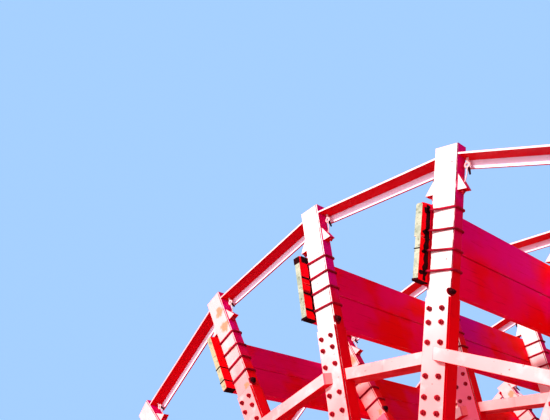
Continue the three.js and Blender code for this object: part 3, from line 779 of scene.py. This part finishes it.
def dark_marks_at(i):
    """All the dark marks and straps at one end of one arm's planks; some are painted shade.

    A piece is given by its place along the arm, half its height, and its near and far edge from the arm.
    """
    z, trim = U_RADII, TRIM[i]
    if i == 1:
        return [dark_band(1, (0.008, 0.020), (0.060, 0.048)),
                dark_blob(z[0] - 0.012, 0.030, 0.014, 0.094, 1),
                dark_blob(z[1] - 0.018, 0.025, 0.014, 0.094, 2),
                dark_blob(z[2] - 0.015, 0.014, 0.040, 0.096, 3),
                dark_blob(z[3] - 0.022, 0.017, 0.050, 0.112, 4),
                dark_wrap(z[2], 0.004, trim, 0.012), dark_wrap(PLANK_LOW + 0.008, 0.008, trim, 0.012),
                shade_sole(trim, 0.0, 0.12)]
    if i == 0:
        return [dark_band(2, (0.002, 0.002), (0.026, 0.011)), dark_patch(z[1] - 0.006, 0.009, 0.004, 0.108),
                dark_patch(z[2], 0.010, 0.004, 0.108), dark_patch(z[3], 0.011, 0.004, 0.108),
                # painted shadow: the dark patch and wrap at the top of this plank's end stand in for the
                # shade of the gusset and rim above
                dark_patch(3.768, 0.032, 0.003, 0.085), dark_wrap(3.757, 0.030, trim),
                dark_wrap(PLANK_LOW + 0.010, 0.010, trim), shade_sole(trim, 0.0, 0.12)]
    if i == 17:
        return [dark_band(3, (0.002, 0.002), (0.004, 0.004)), dark_patch(z[2] + 0.004, 0.006, 0.004, 0.100),
                dark_patch(z[3] + 0.004, 0.006, 0.004, 0.100), dark_wrap(z[2] + 0.004, 0.006, trim),
                dark_wrap(z[3] + 0.004, 0.006, trim), shade_sole(trim, 0.0, 0.12)]
    rng = random.Random(100 + i)
    near, wide = rng.uniform(0.002, 0.020), rng.uniform(0.008, 0.026)
    parts = [dark_band(i, (near, near), (wide, wide * rng.uniform(0.6, 1.2))),
             shade_sole(trim, 0.0, rng.uniform(0.05, 0.12))]
    for k in range(4):
        if rng.random() < 0.75:
            y0 = rng.uniform(0.004, 0.03)
            half, y1 = rng.uniform(0.006, 0.018), rng.uniform(0.060, 0.100)
            if half > 0.012:
                parts.append(dark_blob(z[k] - rng.uniform(0.0, 0.02), half, y0, y1, 10 * i + k))
            else:
                parts.append(dark_patch(z[k] - rng.uniform(0.0, 0.01), half, 0.004, y1))
        if rng.random() < 0.25:
            parts.append(dark_wrap(z[k], 0.004, trim))
    return parts


def at_both_ends(proto, i):
    """Stamps of a port piece, and of its mirror image, at the two outermost ring frames."""
    return [(proto, arm_matrix(i, RING_Y[0])), (proto.mirrored(), arm_matrix(i, RING_Y[-1]))]


stamps = []
for i in range(ARMS):
    stamps += at_both_ends(joined(*dark_marks_at(i)), i)
stamp("plank_dark_marks", stamps, [M_BLACK])


def corner_shade_strip(seed):
    """Painted crimson shade on the arm's outer face, along its bow edge in the corner beside the planks."""
    rng = random.Random(seed)
    count, low, high = 20, PLANK_LOW - 0.03, PLANK_HIGH - 0.02
    corners = []
    for k in range(count + 1):
        z = low + (high - low) * k / count
        # narrower at both ends
        share = min(1.0, 0.4 + 0.3 * k, 0.4 + 0.3 * (count - k))
        inner = ARM_W - (0.017 + rng.uniform(-0.004, 0.003)) * share
        corners += [(x, ARM_T + lift, z) for lift in (0.0002, 0.0012) for x in (inner, ARM_W)]
    return strip(corners)


stamps = []
for i in LOOSE_ARMS:
    stamps += at_both_ends(corner_shade_strip(i), i)
stamp("corner_shade_strips", stamps, [M_CORNER_SHADE])

# Splice plates: the bolts of all, and the inner frames' own plates
PLATE_ROWS, PLATE_COLUMNS = (3.012, 2.915, 2.778, 2.553, 2.415, 2.315), (-0.052, 0.052)
BOLT = hex_bolt(0.0165, 0.022, 0.0, 0.0, stud=0.011)
BOLT_SIMPLE = hex_bolt(0.0165, 0.018, 0.0, 0.0)
for k, y in enumerate(RING_Y):
    stamps = []
    for i in range(ARMS):
        m = arm_matrix(i, y)
        for s in (-1, 1):
            bolt = BOLT if k in (0, RINGS - 1) and s * y > 0 else BOLT_SIMPLE
            face = s * (ARM_T + PLATE_T)
            for z in PLATE_ROWS:
                for x in PLATE_COLUMNS:
                    stamps.append((bolt, m @ toward((0, s, 0), (x, face, z), random.uniform(0, 1))))
    stamp(f"plate_bolts_{k + 1}", stamps, [M_BOLT])

PLATES = joined(*[box(-PLATE_HALF, PLATE_HALF, *sorted((s * ARM_T, s * (ARM_T + PLATE_T))), PLATE_LOW,
                      PLATE_HIGH, 0.002) for s in (-1, 1)])
for k in range(1, RINGS - 1):
    stamp(f"splice_plates_{k + 1}", [(PLATES, arm_matrix(i, RING_Y[k])) for i in range(ARMS)], [M_SPLICE])


def gusset_proto(outward, side):
    """Triangular bracket between the arm's edge and the rim, flush with the outer face."""
    face = outward * (ARM_T - GUSSET_IN)
    y0, y1 = sorted((face, face - outward * GUSSET_T))
    near, far = side * (ARM_W - 0.004), side * (ARM_W + GUSSET_REACH)
    pts = [(near, GUSSET_TOP), (near, GUSSET_LOW), (far, GUSSET_LOW)]
    verts = [(x, y, z) for y in (y0, y1) for x, z in pts]
    faces = [(0, 1, 2), (5, 4, 3), (0, 3, 4, 1), (1, 4, 5, 2), (2, 5, 3, 0)]
    if side < 0:
        faces = [tuple(reversed(f)) for f in faces]
    return Proto(verts, faces)


for k in range(1, RINGS - 1):
    outward = 1 if RING_Y[k] > 0 else -1
    pair = joined(gusset_proto(outward, 1), gusset_proto(outward, -1))
    stamp(f"gussets_{k + 1}", [(pair, arm_matrix(i, RING_Y[k])) for i in range(ARMS)], [M_FRAME])


# Eye bolt under the rim beside each arm, with a thin rod to the gusset, a hook, and the gusset's bolt
EYE_T, EYE_R, EYE_RING, EYE_ROD = 0.133, 4.106, 0.019, 0.0095
# the rim's flange is straight from arm to arm, so its underside is lower away from the arms
FLANGE_UNDER = RIM_R * math.cos(STEP / 2) / math.cos(math.radians(8.1)) - 0.014
FOOT_BOLT_R = 3.140


def rim_details(outward, bolt_t):
    """The small ironwork on both sides of one arm; bolt_t is how far the gusset's bolt is from the arm."""
    parts = []
    y = outward * (ARM_T - 0.080)
    gusset_y = outward * (ARM_T - GUSSET_IN - 0.030)
    for side in (-1, 1):
        t = side * EYE_T
        ring = [(t + EYE_RING * math.sin(a), y, EYE_R + EYE_RING * math.cos(a))
                for a in [math.tau * k / 14 for k in range(15)]]
        parts.append(tube(ring, EYE_ROD))
        parts.append(tube([(t, y, EYE_R + EYE_RING), (t, y, FLANGE_UNDER)], EYE_ROD))
        foot = side * (ARM_W + 0.040)
        rod = [(t, y, EYE_R - EYE_RING + 0.002), (t + side * 0.004, y + outward * 0.008, EYE_R - 0.076),
               (foot, gusset_y, GUSSET_LOW + 0.062)]
        parts.append(tube(rod, 0.0045, 6))
        hook = [(t + side * 0.012, y, EYE_R - 0.012), (t + side * 0.017, y, EYE_R - 0.040),
                (t + side * 0.026, y, EYE_R - 0.080)]
        parts.append(tube(hook, (0.007, 0.010, 0.007)).with_mat(1))
        bolt = hex_bolt(0.014, 0.014, 0.021, 0.004, stud=0.012)
        parts.append(bolt.moved(toward((0, 0, -1), (side * bolt_t, gusset_y, GUSSET_LOW))).with_mat(2))
    return joined(*parts)


def plank_foot_bolt(y, low=0.0, wide=1.0, high=1.0):
    """A big bolt on a washer that laps over the arm's port corner, under the planks."""
    place = Matrix.Translation((-ARM_W, y, FOOT_BOLT_R - low)) @ Matrix.Diagonal((1.0, wide, high, 1.0))
    place = place @ toward((-1, 0, 0), (0.0, 0.0, 0.0), 0.2)
    head = hex_bolt(0.022, 0.026, 0.0, 0.006, stud=0.010).moved(place).with_mat(1)
    return joined(disc_stack([(0.040, 0.0), (0.040, 0.006), (0.036, 0.009)], 20).moved(place), head)


FOOT_NEAR, FOOT_FAR = plank_foot_bolt(0.060, 0.014, 1.15, 0.68), plank_foot_bolt(0.030)
for k, y in enumerate(RING_Y):
    outward = 1 if y > 0 else -1
    near, far = rim_details(outward, 0.132), rim_details(outward, 0.160)
    stamp(f"rim_rods_{k + 1}", [(far if i % 3 == 0 else near, arm_matrix(i, y)) for i in range(ARMS)],
          [M_PALE, M_BLACK, M_BOLT], smooth_angle=40)
    feet = [(FOOT_NEAR if i % 3 == 1 else FOOT_FAR, arm_matrix(i, y)) for i in range(ARMS)]
    stamp(f"foot_bolts_{k + 1}", feet, [M_BOLT, M_DARK])

# Hub bolts: four in each arm's root on each side, as place across the arm and radius
HUB_BOLT = hex_bolt(0.024, 0.020, 0.034, 0.005)
HUB_PLACES = ((-0.045, 0.76), (0.045, 0.76), (-0.055, 0.96), (0.055, 0.96))
stamps = []
for k, y in enumerate(RING_Y):
    for i in range(ARMS):
        m = arm_matrix(i, y)
        for s in (-1, 1):
            for x, z in HUB_PLACES:
                stamps.append((HUB_BOLT, m @ toward((0, s, 0), (x, s * HUB_FACE, z), random.uniform(0, 1))))
half = len(stamps) // 2
stamp("hub_bolts_port", stamps[:half], [M_BOLT])
stamp("hub_bolts_starboard", stamps[half:], [M_BOLT])

# Bearings, beams and girder: nuts, bolts and oil cups, seated on the faces of the solids
BEAM_Y, BEAM_HALF, GIRDER_FACE = 5.100, 0.120, -0.6303
FOOT_TOP, EAR_TOP, CAP_TOP = 0.4503 + 0.070, AXIS_Z + 0.080, AXIS_Z + 0.2895
CAP_NUTS = [(x, dy) for x in (-0.296, 0.296) for dy in (-0.10, 0.10)]
FOOT_NUTS = [(x, dy) for x in (-0.47, 0.47) for dy in (-0.09, 0.09)]
UP, AFT = (0, 0, 1), (-1, 0, 0)
STUD = hex_bolt(0.034, 0.034, 0.048, 0.006, stud=0.028)
SMALL_BOLT = hex_bolt(0.018, 0.014, 0.026, 0.004)
OIL_CUP = disc_stack([(0.030, 0), (0.030, 0.02), (0.016, 0.03), (0.016, 0.06), (0.042, 0.075), (0.045, 0.15),
                      (0.030, 0.165), (0.010, 0.175)], 20)
for side, tag in ((1, "port"), (-1, "starboard")):
    y = side * BEAM_Y
    nuts = [(STUD, toward(UP, (AXIS_X + x, y + dy, EAR_TOP), 0.2)) for x, dy in CAP_NUTS]
    nuts += [(STUD, toward(UP, (AXIS_X + x, y + dy, FOOT_TOP), 0.4)) for x, dy in FOOT_NUTS]
    stamp(f"bearing_nuts_{tag}", nuts, [M_STEEL], body=CARRIER)
    stamp(f"oil_cup_{tag}", [(OIL_CUP, toward(UP, (AXIS_X, y, CAP_TOP)))], [M_BRASS], body=CARRIER,
          smooth_angle=35)
    rivets = [(SMALL_BOLT, toward((0, s, 0), (x, y + s * BEAM_HALF, z), 0.3))
              for x in (-0.75, -1.10) for z in (-0.30, -0.10, 0.10, 0.30) for s in (-1, 1)]
    rivets += [(SMALL_BOLT, toward(AFT, (GIRDER_FACE, y + dy, z), 0.1))
               for z in (-0.36, -0.20, 0.0, 0.20, 0.36) for dy in (-0.165, 0.165)]
    stamp(f"beam_bolts_{tag}", rivets, [M_BEAM], body=CARRIER)

# Floor, light and camera
FLOOR_Z, FLOOR_RADIUS, FLOOR_SIDES = CAD_BOX[0].z - 0.35, 380.0, 120


def floor_paint():
    """A pale grey floor with a hardly visible cloud in it."""
    n = Nodes("floor_pale")
    grey = (0.80, 0.81, 0.82)
    shade = n.mix(n.ramp(n.noise(0.15, 2.0), 0.3, 0.7), grey, tuple(c * 0.97 for c in grey))
    return n.set(Base_Color=shade, Roughness=0.6)


turns = [math.tau * k / FLOOR_SIDES for k in range(FLOOR_SIDES)]
floor_mesh = bpy.data.meshes.new("floor")
floor_mesh.from_pydata([(AXIS_X + FLOOR_RADIUS * math.cos(a), FLOOR_RADIUS * math.sin(a), FLOOR_Z)
                        for a in turns], [], [tuple(range(FLOOR_SIDES))])
floor_mesh.materials.append(floor_paint())
floor = bpy.data.objects.new("floor", floor_mesh)
bpy.context.scene.collection.objects.link(floor)
# the floor would send more light up than the photo shows; the lamp under stands for it
floor.visible_diffuse = False
floor.visible_shadow = False


def soft_sun(name, source, strength, angle, colour):
    """Light from far away that comes from the direction of source; a wide angle gives soft shadows."""
    light = bpy.data.lights.new(name, "SUN")
    light.energy = strength
    light.angle = math.radians(angle)
    light.color = colour
    obj = bpy.data.objects.new(name, light)
    obj.rotation_euler = (-Vector(source)).to_track_quat("-Z", "Y").to_euler()
    bpy.context.scene.collection.objects.link(obj)


soft_sun("key", (0.04, 1.0, 0.42), 3.7, 4.0, (1.0, 0.97, 0.93))
soft_sun("side", (0.0, 1.0, 0.12), 1.40, 50.0, (1.0, 0.96, 1.0))
soft_sun("fill", (-0.92, 0.37, 0.10), 0.50, 40.0, (0.90, 0.90, 1.0))
soft_sun("under", (-0.12, 0.36, -0.92), 0.30, 60.0, (1.0, 0.94, 0.92))
soft_sun("back", (0.67, -0.62, 0.41), 0.38, 40.0, (0.95, 0.97, 1.0))

# A blue sky that the camera sees, and a weaker, paler one that lights the wheel.
world = bpy.data.worlds.new("world")
bpy.context.scene.world = world
world.use_nodes = True
sky = world.node_tree
sky.nodes.clear()
sky_out = sky.nodes.new("ShaderNodeOutputWorld")
sky_mix = sky.nodes.new("ShaderNodeMixShader")
rays = sky.nodes.new("ShaderNodeLightPath")
for socket, colour, strength in ((1, (0.80, 0.88, 1.0, 1), 0.34), (2, (0.35, 0.55, 0.86, 1), 1.0)):
    background = sky.nodes.new("ShaderNodeBackground")
    background.inputs[0].default_value = colour
    background.inputs[1].default_value = strength
    sky.links.new(background.outputs[0], sky_mix.inputs[socket])
sky.links.new(rays.outputs["Is Camera Ray"], sky_mix.inputs[0])
sky.links.new(sky_mix.outputs[0], sky_out.inputs[0])

# The camera, fitted to the photograph: focal length and frame width in pixels, and its place.
FOCAL_PX, FRAME_PX, SENSOR = 645.5, 550, 36.0
CAM_AZ, CAM_EL, CAM_ROLL = math.radians(225.93), math.radians(-32.22), math.radians(4.18)
CAM_AT = Vector((AXIS_X - 3.1465, RING_Y[0] + ARM_T + 3.6822, AXIS_Z + 1.1463))
forward = Vector((-math.sin(CAM_AZ) * math.cos(CAM_EL), math.cos(CAM_AZ) * math.cos(CAM_EL),
                  -math.sin(CAM_EL)))
right = forward.cross(Vector((0, 0, 1))).normalized()
down = forward.cross(right)
rolled_right = right * math.cos(CAM_ROLL) + down * math.sin(CAM_ROLL)
rolled_down = down * math.cos(CAM_ROLL) - right * math.sin(CAM_ROLL)
cam_data = bpy.data.cameras.new("camera")
cam_data.sensor_width = SENSOR
cam_data.lens = FOCAL_PX / FRAME_PX * SENSOR
cam_data.clip_start, cam_data.clip_end = 0.05, 900
cam = bpy.data.objects.new("camera", cam_data)
bpy.context.scene.collection.objects.link(cam)
cam.matrix_world = Matrix((
    (rolled_right.x, -rolled_down.x, -forward.x, CAM_AT.x),
    (rolled_right.y, -rolled_down.y, -forward.y, CAM_AT.y),
    (rolled_right.z, -rolled_down.z, -forward.z, CAM_AT.z),
    (0, 0, 0, 1)))
bpy.context.scene.camera = cam
bpy.context.scene.view_settings.view_transform = "Standard"
bpy.context.scene.view_settings.look = "Medium High Contrast"
